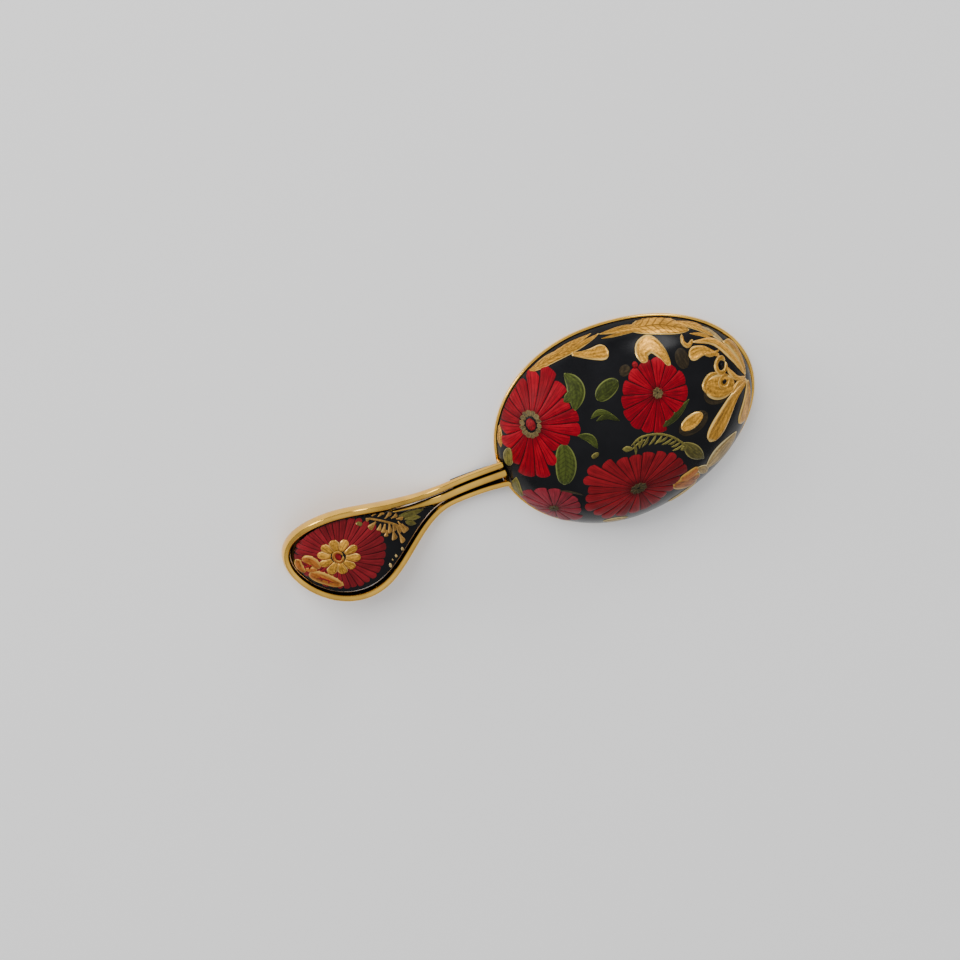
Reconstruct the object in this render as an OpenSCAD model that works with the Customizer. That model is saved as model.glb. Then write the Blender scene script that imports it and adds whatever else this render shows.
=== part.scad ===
// Painted serving spoon, lying face down: a lacquered wooden bowl in a gilt brass
// setting, with a three-rod neck and an arched loop handle that holds a painted plaque.
// Millimetres. X runs from the handle's end to the bowl's tip, Z is up, and the spoon
// rests on the plane z = 0. The origin is the middle of its footprint.

/* [Bowl] */
// Distance from the bowl's widest place to its tip
tip_reach = 44.7; // [40:0.1:48]
// Distance from the bowl's widest place to its neck end
neck_reach = 36; // [33:0.1:40]
// Half of the bowl's width over the rim
half_width = 32; // [28:0.5:35]
// Height of the bowl's back above the surface it lies on
bowl_height = 20; // [17:0.5:24]
// Thickness of the lacquered wooden shell
shell_wall = 2; // [1.5:0.1:2.5]
// Thickness of the gilt liner inside the shell
liner_wall = 0.8; // [0.6:0.1:1]
// Width of the gilt lip outside the shell
rim_lip = 0.6; // [0.5:0.1:1.2]
// Height of the gilt rim
rim_height = 1.2; // [1.1:0.1:1.6]

/* [Neck] */
// Half of the neck's width over its three rods
neck_half = 3.7; // [3.5:0.1:4.0]
// Width of an outer rod
outer_rod = 1.9; // [1.6:0.1:2.0]
// Width of the centre rod
centre_rod_width = 2.6; // [2.2:0.1:2.8]
// Height of the rods
rod_height = 2; // [1.8:0.1:2.2]
// Height of the rods' middle where they meet the bowl
neck_rise = 4.5; // [4.2:0.1:5.2]
// Height of the rods' middle at the lowest place of the neck
dip_height = 2; // [2:0.1:3]
// Thickness of the strip under the rods
strip_thickness = 0.6; // [0.4:0.1:0.7]

/* [Handle] */
// Half of the handle's width over the loop
head_half = 15.2; // [13:0.1:17]
// Length of the loop's rounded end
head_end = 18.3; // [16:0.1:20]
// Length over which the loop narrows to the neck
taper = 35; // [32:0.5:37]
// Height of the loop's middle at the top of the arch
arch_height = 13; // [8:0.1:14]
// Height of the loop's middle at the handle's end
end_height = 2; // [2:0.1:3]
// Width of the loop's bar
bar_width = 2.4; // [2:0.1:2.8]
// Height of the loop's bar
bar_height = 4; // [3.6:0.1:4]
// Thickness of the tray under the plaque
tray_thickness = 0.7; // [0.5:0.1:0.9]

/* [Hidden] */
$fn = 96;
eps = 0.01;

// Room left for cement or solder between neighbouring pieces
joint_gap = 0.1;
// Shadow gap round the plaque, and how much of the bar's height stands above it
plaque_gap = 0.8;
plaque_sink = 0.25;
// How much the plaque's face is crowned, and the sheet-metal pieces under it
plaque_crown = 0.5;
sheet_crown = 0.1;
// Width of the dark grooves between the three rods
groove = neck_half - outer_rod - centre_rod_width / 2;

// The rim's floor, which the shell and the liner stand on
rim_floor = 0.75;
shell_foot = rim_floor + joint_gap;

// Half-widths of the bowl's layers at the foot, from outside to inside
shell_outer = half_width - rim_lip - joint_gap;
shell_inner = shell_outer - shell_wall;
liner_outer = shell_inner - joint_gap;
liner_inner = liner_outer - liner_wall;

// Heights of the bowl's layers above the foot, from outside to inside
shell_top = bowl_height - shell_foot;
shell_hollow = shell_top - shell_wall;
liner_top = shell_hollow - joint_gap;
liner_hollow = liner_top - liner_wall;

// Places along X
spoon_length = 150;
bowl_x = spoon_length / 2 - tip_reach;
rim_end_x = bowl_x - neck_reach;
rods_end_x = rim_end_x + 1.3;
handle_end_x = -spoon_length / 2;
head_x = handle_end_x + head_end;
neck_x = head_x + taper;
arch_x = head_x + 5.6;

// Colours of the gilding, the black lacquer and the red plaque
gilt = [0.83, 0.64, 0.26];
lacquer = [0.05, 0.05, 0.06];
madder = [0.5, 0.08, 0.12];

// Smooth step from 0 to 1 as t goes from 0 to 1
function ease(t) = t <= 0 ? 0 : t >= 1 ? 1 : (1 - cos(180 * t)) / 2;
function mix(a, b, t) = a + (b - a) * t;
function part_way(x, from, to) = (x - from) / (to - from);

// Section of a full, slightly flattened dome, from its foot to its crown
dome_steps = 16;
function dome(w, h) = [for (i = [0 : dome_steps])
    let(t = 90 * i / dome_steps) [w * pow(cos(t), 0.83), h * pow(sin(t), 1.2)]];
function dome_radius(w, h, z) = w * pow(1 - pow(z / h, 1 / 0.6), 0.83 / 2);

// Height of the middle of the rods and the bar at each place along the handle
function mid_z(x) =
    x > neck_x ? mix(dip_height, neck_rise, pow(part_way(x, neck_x, rods_end_x), 2.2)) :
    x > arch_x ? mix(dip_height, arch_height, ease(part_way(x, neck_x, arch_x))) :
    mix(arch_height, end_height, pow(part_way(x, arch_x, handle_end_x), 2));

// Half-width over the rods and the loop, and how steeply it grows toward the end
function plan_half(x) =
    x > head_x ? mix(neck_half, head_half, ease(part_way(x, neck_x, head_x)))
        + 0.5 * pow(max(0, part_way(x, neck_x, rods_end_x)), 3) :
    head_half * sqrt(max(0, 1 - pow(part_way(x, head_x, handle_end_x), 2)));
function plan_slope(x) = (plan_half(x - eps) - plan_half(x + eps)) / (2 * eps);

// The bar grows from a thin rod at the neck to its full section along the loop
function bar_share(x) = ease(part_way(x, rim_end_x - 8, rim_end_x - 38));
// The rods' ends lean over to lie against the shell's curved side
function lean(x) = 0.42 * pow(max(0, part_way(x, rods_end_x - 5, rods_end_x)), 2);
function bar_w(x) = mix(outer_rod, bar_width, bar_share(x));
function bar_h(x) = mix(rod_height, bar_height, bar_share(x));

// Half-width of a line that runs inside the bar, at the distance g from it
function inside(x, g) =
    x > head_x ? plan_half(x) - (bar_w(x) + g) * norm([1, plan_slope(x)]) :
    (head_half - bar_width - g) * sqrt(max(0, 1 - pow((head_x - x) / (head_end - bar_width - g), 2)));

// The centre rod follows the left bar once the loop opens, and tapers away beside it
rod_tip_x = neck_x - 18;
function centre_taper(x) = ease(part_way(x, neck_x - 2, rod_tip_x));
function centre_w(x) = mix(centre_rod_width, 0.6, centre_taper(x));
function centre_h(x) = mix(rod_height, 1.4, centre_taper(x));
function centre_gap(x) = mix(groove, joint_gap, ease(part_way(x, neck_x, neck_x - 8)));
function centre_y(x) = max(0, inside(x, centre_gap(x) + centre_w(x) / 2));
function centre_z(x) = mid_z(x) + 0.4 * (bar_h(x) - centre_h(x));

// One ring of a rounded bar: p is its middle, n the plan direction across it
ring_points = 14;
function bar_ring(p, n, w, h) = [for (i = [0 : ring_points - 1])
    let(a = 360 * i / ring_points, u = w / 2 * sign(cos(a)) * pow(abs(cos(a)), 0.7),
        v = h / 2 * sign(sin(a)) * pow(abs(sin(a)), 0.7))
    [p[0] + n[0] * u + lean(p[0]) * v, p[1] + n[1] * u, p[2] + v]];

// One ring of a crowned plate between the lines y = lo and y = hi
plate_steps = 6;
function plate_ring(x, lo, hi, bottom, top, crown) = concat(
    [[x, hi, bottom], [x, lo, bottom]],
    [for (i = [0 : plate_steps]) let(t = i / plate_steps)
        [x, mix(lo, hi, t), top + 4 * crown * t * (1 - t) - crown]]);

// A closed solid through a row of rings that all have the same number of points
module skin(rings) {
    n = len(rings[0]);
    m = len(rings);
    sides = [for (i = [0 : m - 2], j = [0 : n - 1])
        let(a = i * n + j, b = i * n + (j + 1) % n, c = a + n, d = b + n)
        each [[a, b, c], [b, d, c]]];
    ends = [[for (j = [n - 1 : -1 : 0]) j], [for (j = [0 : n - 1]) (m - 1) * n + j]];
    polyhedron(points = [for (r = rings) each r], faces = concat(sides, ends), convexity = 8);
}

// Two half turns of a section, stretched to reach the bowl's tip and its neck end
module egg() {
    translate([bowl_x, 0, 0]) {
        scale([tip_reach / half_width, 1, 1]) rotate([0, 0, -90]) rotate_extrude(angle = 180) children();
        neck_half_turn() children();
    }
}
module neck_half_turn() {
    scale([neck_reach / half_width, 1, 1]) rotate([0, 0, 90]) rotate_extrude(angle = 180) children();
}

// A dome with an even wall; the two widths are at its foot
module hollow_dome(w_out, h_out, w_in, h_in) {
    translate([0, 0, shell_foot])
        egg() polygon(concat(dome(w_out, h_out), [for (i = [dome_steps : -1 : 0]) dome(w_in, h_in)[i]]));
}

module bowl_shell() {
    color(lacquer) hollow_dome(shell_outer, shell_top, shell_inner, shell_hollow);
}

module bowl_liner() {
    color(gilt) hollow_dome(liner_outer, liner_top, liner_inner, liner_hollow);
}

// An L section: a floor under the shell and the liner, and a lip outside the shell
module bowl_rim() {
    lip = half_width - rim_lip;
    soft = 0.3;
    color(gilt) egg() polygon([
        [liner_inner, 0], [half_width - soft, 0], [half_width, soft], [half_width, rim_height - soft],
        [half_width - soft, rim_height], [lip, rim_height], [lip, rim_floor], [liner_inner, rim_floor]]);
}

// A curved seat that stands on the rim, under the rods' ends and against the shell
module neck_saddle() {
    reach = neck_half + 0.2;
    foot = rim_height + joint_gap;
    top = mid_z(rim_end_x) - rod_height / 2 - joint_gap;
    steps = 5;
    inner = [for (i = [0 : steps]) let(z = mix(foot, top, i / steps))
        [dome_radius(shell_outer, shell_top, z - shell_foot) + joint_gap, z]];
    color(gilt) intersection() {
        translate([bowl_x, 0, 0])
            neck_half_turn() polygon(concat(inner, [[half_width - 0.3, top], [half_width, top - 0.3],
                [half_width, foot]]));
        translate([rim_end_x - 1, -reach, 0]) cube([neck_reach / 2, 2 * reach, top + 1]);
    }
}

// One bar from the bowl out along one side, round the handle's end and back
module handle_loop() {
    leg_steps = 30;
    bend_steps = 28;
    leg = [for (i = [0 : leg_steps - 1])
        let(x = mix(rods_end_x, head_x, i / leg_steps), n = [plan_slope(x), 1] / norm([plan_slope(x), 1]))
        [x, plan_half(x), n[0], n[1]]];
    bend = [for (i = [0 : bend_steps])
        let(a = 90 + 180 * i / bend_steps, t = [head_half * cos(a), head_end * sin(a)], n = t / norm(t))
        [head_x + head_end * cos(a), head_half * sin(a), n[0], n[1]]];
    back = [for (i = [leg_steps - 1 : -1 : 0]) [leg[i][0], -leg[i][1], leg[i][2], -leg[i][3]]];
    color(gilt) skin([for (p = concat(leg, bend, back))
        let(w = bar_w(p[0]), x = p[0] - p[2] * w / 2, y = p[1] - p[3] * w / 2)
        bar_ring([x, y, mid_z(p[0])], [p[2], p[3]], w, bar_h(p[0]))]);
}

module centre_rod() {
    steps = 32;
    color(gilt) skin([for (i = [0 : steps])
        let(x = mix(rods_end_x, rod_tip_x, i / steps))
        bar_ring([x, centre_y(x), centre_z(x)], [0, 1], centre_w(x), centre_h(x))]);
}

// A lacquered strip that the three rods lie on, from the bowl to the loop's opening
module neck_strip() {
    steps = 14;
    color(lacquer) skin([for (i = [0 : steps])
        let(x = mix(rim_end_x - joint_gap, neck_x + 1.5, i / steps), half = neck_half - 0.4,
            top = mid_z(x) - bar_h(x) / 2 - joint_gap)
        plate_ring(x, -half, half, top - strip_thickness, top, sheet_crown)]);
}

// Edge lines of the plates in the loop, at the distance g from the bars round them
function plate_lo(x, g) = -inside(x, g);
function plate_hi(x, g) =
    x > rod_tip_x - 1 ? min(inside(x, g), centre_y(x) - centre_w(x) / 2 - g) : inside(x, g);
function tray_bottom(x) = mid_z(x) - bar_h(x) / 2 + joint_gap;
function tray_top(x) = tray_bottom(x) + tray_thickness * bar_h(x) / bar_height;
function plaque_top(x) = mid_z(x) + bar_h(x) * (0.5 - plaque_sink);

// Stations along the loop's inside, closer together toward the rounded end
module loop_plate(g, start_x, is_tray) {
    straight_steps = 22;
    round_steps = 14;
    end_reach = head_end - bar_width - g;
    xs = concat([for (i = [0 : straight_steps]) mix(start_x, head_x, i / straight_steps)],
        [for (i = [1 : round_steps]) head_x - end_reach * sin(87 * i / round_steps)]);
    skin([for (x = xs) plate_ring(x, plate_lo(x, g), plate_hi(x, g),
        is_tray ? tray_bottom(x) : tray_top(x) + joint_gap,
        is_tray ? tray_top(x) : plaque_top(x), is_tray ? sheet_crown : plaque_crown * bar_share(x))]);
}

module plaque_tray() {
    color(gilt) loop_plate(joint_gap, neck_x - 1, true);
}

module handle_plaque() {
    color(madder) loop_plate(plaque_gap, neck_x - 6, false);
}

bowl_shell();
bowl_liner();
bowl_rim();
neck_saddle();
handle_loop();
centre_rod();
neck_strip();
plaque_tray();
handle_plaque();
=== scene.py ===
import math
import random

import bpy
from bpy.props import FloatProperty, FloatVectorProperty, IntProperty, PointerProperty
from mathutils import Matrix, Vector
from mathutils.bvhtree import BVHTree


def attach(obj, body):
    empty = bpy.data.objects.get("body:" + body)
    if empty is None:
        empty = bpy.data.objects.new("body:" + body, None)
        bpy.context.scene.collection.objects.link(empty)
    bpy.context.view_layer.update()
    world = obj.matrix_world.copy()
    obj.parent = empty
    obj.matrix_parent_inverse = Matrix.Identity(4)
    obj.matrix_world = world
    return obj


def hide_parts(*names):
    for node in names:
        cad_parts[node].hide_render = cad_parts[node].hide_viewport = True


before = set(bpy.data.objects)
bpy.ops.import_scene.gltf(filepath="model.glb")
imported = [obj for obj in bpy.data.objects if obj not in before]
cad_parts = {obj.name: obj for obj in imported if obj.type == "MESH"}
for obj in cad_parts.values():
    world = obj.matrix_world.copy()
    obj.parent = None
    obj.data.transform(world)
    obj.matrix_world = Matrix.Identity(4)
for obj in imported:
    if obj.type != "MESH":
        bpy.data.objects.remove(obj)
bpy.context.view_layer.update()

bl_info = {
    "name": "Painted Spoon",
    "version": (1, 0, 0),
    "blender": (4, 2, 0),
    "location": "3D View > Sidebar > Spoon",
    "description": "A lacquered wooden spoon in a gilt setting, painted with flowers",
    "category": "Object",
}

MM = 0.001
UP = Vector((0, 0, 1))


# ---------------------------------------------------------------- small helpers

NOISE = "ShaderNodeTexNoise"
RAMP = "ShaderNodeValToRGB"
RANGE = "ShaderNodeMapRange"
MATH = "ShaderNodeMath"
BUMP = "ShaderNodeBump"
MIX = "ShaderNodeMix"


def linear(hex_colour):
    """An sRGB hex colour as linear red, green and blue."""
    parts = [int(hex_colour[i : i + 2], 16) / 255 for i in (1, 3, 5)]
    return tuple(c / 12.92 if c <= 0.04045 else ((c + 0.055) / 1.055) ** 2.4 for c in parts)


def shade(colour, share=1.0):
    """A darker or brighter tone of a colour, with a full alpha."""
    return (*(min(1.0, part * share) for part in colour[:3]), 1.0)


def add(tree, kind, inputs=(), out=0, stops=(), **settings):
    """Adds one node with its settings, values, links and colour stops, and gives one output."""
    node = tree.nodes.new(kind)
    for key, value in settings.items():
        setattr(node, key, value)
    for key, item in inputs.items() if isinstance(inputs, dict) else enumerate(inputs):
        if isinstance(item, bpy.types.NodeSocket):
            tree.links.new(item, node.inputs[key])
        else:
            node.inputs[key].default_value = item
    for i, (place, tone) in enumerate(stops):
        element = node.color_ramp.elements[i] if i < 2 else node.color_ramp.elements.new(place)
        element.position = place
        element.color = tone
    return node.outputs[out]


def new_material(name):
    """An empty material with its node tree."""
    material = bpy.data.materials.new(name)
    material.use_nodes = True
    return material, material.node_tree


def feed(material, **inputs):
    """Puts plain values and linked sockets on the material's Principled shader."""
    shader = material.node_tree.nodes["Principled BSDF"]
    for key, item in inputs.items():
        socket = shader.inputs[key.replace("_", " ")]
        if isinstance(item, bpy.types.NodeSocket):
            material.node_tree.links.new(item, socket)
        else:
            socket.default_value = item
    return material


# ------------------------------------------------------------------- materials


def groove_patina(tree, gold):
    """The gold darkened toward the grooves between pieces, by the depths that mark_groove stored: painted
    shade where the pieces meet, with the dark brown patina that polishing leaves there."""
    depth = add(tree, "ShaderNodeAttribute", out="Fac", attribute_name="groove")
    share = add(tree, RANGE, (depth, 0.1, 0.4, 0.0, 0.95))
    # Painted shade with patina: dark brown mixed into the gold near the neighbouring pieces.
    patina = linear("#2B1C10") + (1.0,)
    return add(tree, MIX, {0: share, 6: gold, 7: patina}, out=2, data_type="RGBA")


def polished_gilding(colour):
    """Brass bar, drawn, filed and fire gilded: the eye sees long soft reflections, and broad patches a
    little warmer where the gold is thin and a little paler elsewhere."""
    material, tree = new_material("gilt_brass_polished")
    at = add(tree, "ShaderNodeTexCoord", out="Object")
    broad = add(tree, NOISE, {"Vector": at, "Scale": 1 / (7 * MM), "Detail": 2.0})
    fine = add(tree, NOISE, {"Vector": at, "Scale": 1 / (1.4 * MM), "Detail": 3.0})
    tones = ((0.3, shade(colour, 0.82)), (0.7, shade(colour, 1.12)))
    return feed(
        material,
        Metallic=1.0,
        Base_Color=groove_patina(tree, add(tree, RAMP, [broad], stops=tones)),
        Roughness=add(tree, RANGE, (fine, 0.35, 0.7, 0.15, 0.23)),
        Normal=add(tree, BUMP, {"Height": fine, "Strength": 0.2, "Distance": 0.01 * MM}),
    )


def satin_gilding(colour):
    """Spun and pickled brass sheet with matt gilding: an even, powdery glow with faint
    grains from the pickle."""
    material, tree = new_material("gilt_brass_satin")
    at = add(tree, "ShaderNodeTexCoord", out="Object")
    broad = add(tree, NOISE, {"Vector": at, "Scale": 1 / (12 * MM), "Detail": 2.0})
    fine = add(tree, NOISE, {"Vector": at, "Scale": 1 / (0.4 * MM), "Detail": 2.0})
    tones = ((0.3, shade(colour, 0.72)), (0.7, shade(colour, 0.86)))
    return feed(
        material,
        Metallic=1.0,
        Base_Color=groove_patina(tree, add(tree, RAMP, [broad], stops=tones)),
        Roughness=add(tree, RANGE, (fine, 0.3, 0.7, 0.3, 0.42)),
        Normal=add(tree, BUMP, {"Height": fine, "Strength": 0.5, "Distance": 0.012 * MM}),
    )


def blackened_brass(colour):
    """Brass strip under baked black lacquer: nearly black, with a breath of brown metal."""
    material, tree = new_material("brass_blackened")
    at = add(tree, "ShaderNodeTexCoord", out="Object")
    patches = add(tree, NOISE, {"Vector": at, "Scale": 1 / (1.5 * MM), "Detail": 3.0})
    tones = ((0.4, shade(colour, 1.5)), (0.75, linear("#33271A") + (1.0,)))
    brown = add(tree, RAMP, [patches], stops=tones)
    return feed(material, Metallic=0.5, Roughness=0.4, Base_Color=brown)


def black_lacquer(colour):
    """Oil lacquer baked in coats on turned lime wood: deep black with a quiet gloss, a breath
    of brown in the depth, and the faint waviness of a brushed coat."""
    material, tree = new_material("black_lacquer_on_wood")
    at = add(tree, "ShaderNodeTexCoord", out="Object")
    depth = add(tree, NOISE, {"Vector": at, "Scale": 1 / (9 * MM), "Detail": 4.0})
    waves = add(tree, NOISE, {"Vector": at, "Scale": 1 / (4 * MM), "Detail": 1.0})
    return feed(
        material,
        Specular_IOR_Level=0.13,
        Base_Color=add(tree, RAMP, [depth], stops=((0.35, shade(colour, 0.8)), (0.7, shade(colour, 1.4)))),
        Roughness=add(tree, RANGE, (waves, 0.3, 0.7, 0.17, 0.25)),
        Normal=add(tree, BUMP, {"Height": waves, "Strength": 0.25, "Distance": 0.02 * MM}),
    )


def stroke_pattern(tree, across, along):
    """What every painted stroke is made from: u across it, v along it, its distance from
    the middle line, its own tone, and bristle marks that differ from stroke to stroke."""
    place = add(tree, "ShaderNodeUVMap", uv_map="UVMap")
    u = add(tree, "ShaderNodeSeparateXYZ", [place], out="X")
    v = add(tree, "ShaderNodeSeparateXYZ", [place], out="Y")
    middle = add(tree, MATH, (u, 2.0, -1.0), operation="MULTIPLY_ADD")
    off_middle = add(tree, MATH, [middle], operation="ABSOLUTE")
    tone = add(tree, "ShaderNodeAttribute", out="Fac", attribute_name="tone")
    shift = add(
        tree,
        "ShaderNodeCombineXYZ",
        (
            add(tree, MATH, (u, across), operation="MULTIPLY"),
            add(tree, MATH, (v, along), operation="MULTIPLY"),
            add(tree, MATH, (tone, 37.0), operation="MULTIPLY"),
        ),
    )
    bristle = add(tree, NOISE, {"Vector": shift, "Scale": 1.0, "Detail": 2.0})
    own = add(tree, MATH, (tone, 0.24, -0.12), operation="MULTIPLY_ADD")
    return u, v, off_middle, add(tree, MATH, (bristle, own), operation="ADD")


def petal_paint(name, colour, line_count):
    """Cinnabar oil paint laid petal by petal under clear lacquer: a deep red that darkens at
    the heart, with hair-fine dark strokes drawn from the heart to the petal's tip."""
    material, tree = new_material(name)
    at = add(tree, "ShaderNodeTexCoord", out="Object")
    u, v, off_middle, bristle = stroke_pattern(tree, 16.0, 2.0)
    patches = add(tree, NOISE, {"Vector": at, "Scale": 1 / (3 * MM), "Detail": 2.0})
    patches = add(tree, MATH, (patches, 0.5, -0.25), operation="MULTIPLY_ADD")
    tone = add(tree, MATH, (bristle, patches), operation="ADD")
    tones = ((0.3, shade(colour, 0.62)), (0.75, shade(colour, 1.45)), (0.5, shade(colour)))
    red = add(tree, RAMP, [tone], stops=tones)
    waver = add(tree, MATH, (patches, 0.3), operation="MULTIPLY")
    across = add(tree, MATH, (u, waver), operation="ADD")
    comb = add(tree, MATH, (across, float(line_count), 0.5), operation="MULTIPLY_ADD")
    comb = add(tree, MATH, [comb], operation="FRACT")
    comb = add(tree, MATH, (comb, 0.5), operation="SUBTRACT")
    near = add(tree, MATH, [comb], operation="ABSOLUTE")
    thin = 0.03 * line_count
    line = add(tree, RANGE, (near, thin * 0.35, thin, 0.9, 0.0))
    fading = add(tree, RANGE, (v, 0.7, 0.95, 0.9, 0.0))
    line = add(tree, MATH, (line, fading), operation="MULTIPLY")
    edge = add(tree, RANGE, (off_middle, 0.87, 0.97, 0.0, 0.9))
    heart = add(tree, RANGE, (v, 0.0, 0.22, 0.7, 0.0))
    dark = shade(colour, 0.1)
    for share in (line, edge, heart):
        red = add(tree, MIX, {0: share, 6: red, 7: dark}, out=2, data_type="RGBA")
    height = add(tree, MATH, (bristle, 0.5), operation="MULTIPLY")
    height = add(tree, MATH, (height, line), operation="SUBTRACT")
    return feed(
        material,
        Base_Color=red,
        Roughness=0.42,
        Specular_IOR_Level=0.1,
        Normal=add(tree, BUMP, {"Height": height, "Strength": 0.5, "Distance": 0.05 * MM}),
    )


def leaf_paint(name, colour, rim, rim_from=0.8, metallic=0.0, veins=0.0, rough=0.4):
    """Oil paint, thick enough to stand proud, brushed over with a second tone: streaked by the bristles,
    veined from its middle line, with a paler band along its edge, partly a second tone of paint and partly
    a painted highlight on the raised outline, and a thin dark line at the very edge, a painted shadow round
    the stroke."""
    material, tree = new_material(name)
    at = add(tree, "ShaderNodeTexCoord", out="Object")
    _, v, off_middle, bristle = stroke_pattern(tree, 9.0, 3.0)
    speckle = add(tree, NOISE, {"Vector": at, "Scale": 1 / (0.7 * MM), "Detail": 3.0})
    speckle = add(tree, MATH, (speckle, 0.6, -0.3), operation="MULTIPLY_ADD")
    tone = add(tree, MATH, (bristle, speckle), operation="ADD")
    tones = ((0.3, shade(colour, 0.5)), (0.72, shade(colour, 1.6)), (0.5, shade(colour)))
    paint = add(tree, RAMP, [tone], stops=tones)
    slant = add(tree, MATH, (off_middle, -1.6), operation="MULTIPLY")
    comb = add(tree, MATH, (v, 9.0, slant), operation="MULTIPLY_ADD")
    comb = add(tree, MATH, [comb], operation="FRACT")
    comb = add(tree, MATH, (comb, 0.5), operation="SUBTRACT")
    near = add(tree, MATH, [comb], operation="ABSOLUTE")
    vein = add(tree, RANGE, (near, 0.04, 0.16, veins, 0.0))
    spine = add(tree, RANGE, (off_middle, 0.03, 0.1, veins, 0.0))
    ends = add(tree, MATH, (v, 2.0, -1.0), operation="MULTIPLY_ADD")
    ends = add(tree, MATH, [ends], operation="ABSOLUTE")
    ends = add(tree, MATH, (ends, 3.0), operation="POWER")
    outer = add(tree, MATH, (off_middle, ends), operation="MAXIMUM")
    # Painted highlight, partly a second tone of paint: the band along the edge takes the rim colour, paler
    # than the paint on most strokes.
    edge = add(tree, RANGE, (outer, rim_from, 0.94, 0.0, 0.85))
    # Painted shadow: a thin dark line at the very edge of the stroke.
    outline = add(tree, RANGE, (outer, 0.94, 1.0, 0.0, 0.9))
    for share, over in (
        (vein, shade(colour, 0.35)),
        (spine, shade(colour, 0.35)),
        (edge, shade(rim)),
        (outline, shade(colour, 0.15)),
    ):
        paint = add(tree, MIX, {0: share, 6: paint, 7: over}, out=2, data_type="RGBA")
    return feed(
        material,
        Base_Color=paint,
        Metallic=metallic,
        Roughness=rough,
        Specular_IOR_Level=0.14,
        Normal=add(tree, BUMP, {"Height": tone, "Strength": 0.7, "Distance": 0.1 * MM}),
    )


MATERIALS = {}


def make_materials(c):
    """All finishes, from the colours that the user sets."""
    MATERIALS.update(
        {
            "gilt": polished_gilding(c.gilding),
            "satin": satin_gilding(c.gilding),
            "blackened": blackened_brass(c.lacquer),
            "lacquer": black_lacquer(c.lacquer),
            "red": petal_paint("petal_paint_cinnabar", c.red, 3),
            "side_red": petal_paint("petal_paint_crimson", c.crimson, 2),
            "madder": petal_paint("petal_paint_madder", c.madder, 2),
            "rose": petal_paint("petal_paint_rose", c.rose, 2),
            # The second colour of a leaf paint goes on its edge band; the paler ones are partly a second
            # tone of paint and partly painted highlights on the raised outline.
            "green": leaf_paint("leaf_paint_green", c.green, linear("#6E7438"), veins=0.5),
            "olive": leaf_paint("leaf_paint_olive", c.olive, linear("#9A8F50"), veins=0.3),
            "shade": leaf_paint("leaf_paint_shadow", c.shadow, c.shadow, 0.9),
            "gold": leaf_paint("gold_paint", c.gold, linear("#F2CF7C"), 0.72, 0.55, 0.4, 0.3),
            "band": leaf_paint(
                "gold_paint_hatched", shade(c.gold, 0.8), linear("#EBC878"), 0.84, 0.55, 0.9, 0.28
            ),
            "scroll": leaf_paint("gold_paint_scrolls", c.gold, linear("#F2CF7C"), 0.5, 0.6, 0.5, 0.28),
            "pale": leaf_paint("gold_paint_pale", c.pale, linear("#E8D6A0"), 0.74, 0.3, 0.2, 0.36),
            "coral": leaf_paint("coral_paint", c.coral, linear("#CFA64E"), 0.45, 0.25, 0.0, 0.36),
            "ember": leaf_paint("ember_paint", c.ember, shade(c.ember, 0.4), 0.9),
            "heart": leaf_paint("heart_paint", c.heart, shade(c.heart, 3.2), 0.6),
            "dim": leaf_paint("heart_paint_dim", shade(c.heart, 0.45), shade(c.heart, 1.2), 0.6),
            "bronze": leaf_paint("gold_paint_brown", c.bronze, linear("#D2A562"), 0.6, 0.4, 0.2, 0.34),
        }
    )


# ------------------------------------------------------------------ modelling


def only(obj):
    """Selects one object and makes it active."""
    bpy.ops.object.select_all(action="DESELECT")
    obj.select_set(True)
    bpy.context.view_layer.objects.active = obj


def named(name):
    """The active object, with its mesh, under a new name."""
    obj = bpy.context.active_object
    obj.name = name
    obj.data.name = name
    return obj


def apply_all(obj):
    """Applies the object's modifiers in order."""
    only(obj)
    for modifier in list(obj.modifiers):
        bpy.ops.object.modifier_apply(modifier=modifier.name)


def finish_piece(obj, material, slot, *nodes):
    """Gives a piece its finish, hangs it on the root body and hides the CAD nodes that it stands for; its
    slot is not used.
    """
    obj.data.materials.clear()
    obj.data.materials.append(MATERIALS[material])
    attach(obj, "root")
    if nodes:
        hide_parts(*nodes)
    return obj


def select_points(obj, test):
    """Leaves edit mode on, with only the points selected that pass the test."""
    only(obj)
    bpy.ops.object.mode_set(mode="EDIT")
    bpy.ops.mesh.select_mode(type="VERT")
    bpy.ops.mesh.select_all(action="DESELECT")
    bpy.ops.object.mode_set(mode="OBJECT")
    for vertex in obj.data.vertices:
        vertex.select = test(vertex)
    bpy.ops.object.mode_set(mode="EDIT")


def turn_section(name, section, steps, closed):
    """A section, as (radius, height) points in millimetres, spun once round the Z axis."""
    bpy.ops.object.select_all(action="DESELECT")
    bpy.ops.mesh.primitive_circle_add(vertices=len(section), radius=1.0, fill_type="NOTHING")
    obj = named(name)
    for vertex, (radius, height) in zip(obj.data.vertices, section):
        vertex.co = (radius * MM, 0, height * MM)
    if not closed:
        select_points(obj, lambda vertex: vertex.index in (0, len(section) - 1))
        bpy.ops.mesh.select_mode(type="EDGE")
        bpy.ops.mesh.delete(type="EDGE")
    else:
        bpy.ops.object.mode_set(mode="EDIT")
    bpy.ops.mesh.select_mode(type="VERT")
    bpy.ops.mesh.select_all(action="SELECT")
    bpy.ops.mesh.spin(steps=steps, angle=math.tau, center=(0, 0, 0), axis=(0, 0, 1))
    bpy.ops.mesh.select_all(action="SELECT")
    bpy.ops.mesh.remove_doubles(threshold=1e-6)
    bpy.ops.mesh.select_all(action="SELECT")
    bpy.ops.mesh.normals_make_consistent(inside=False)
    bpy.ops.object.mode_set(mode="OBJECT")
    return obj


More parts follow.
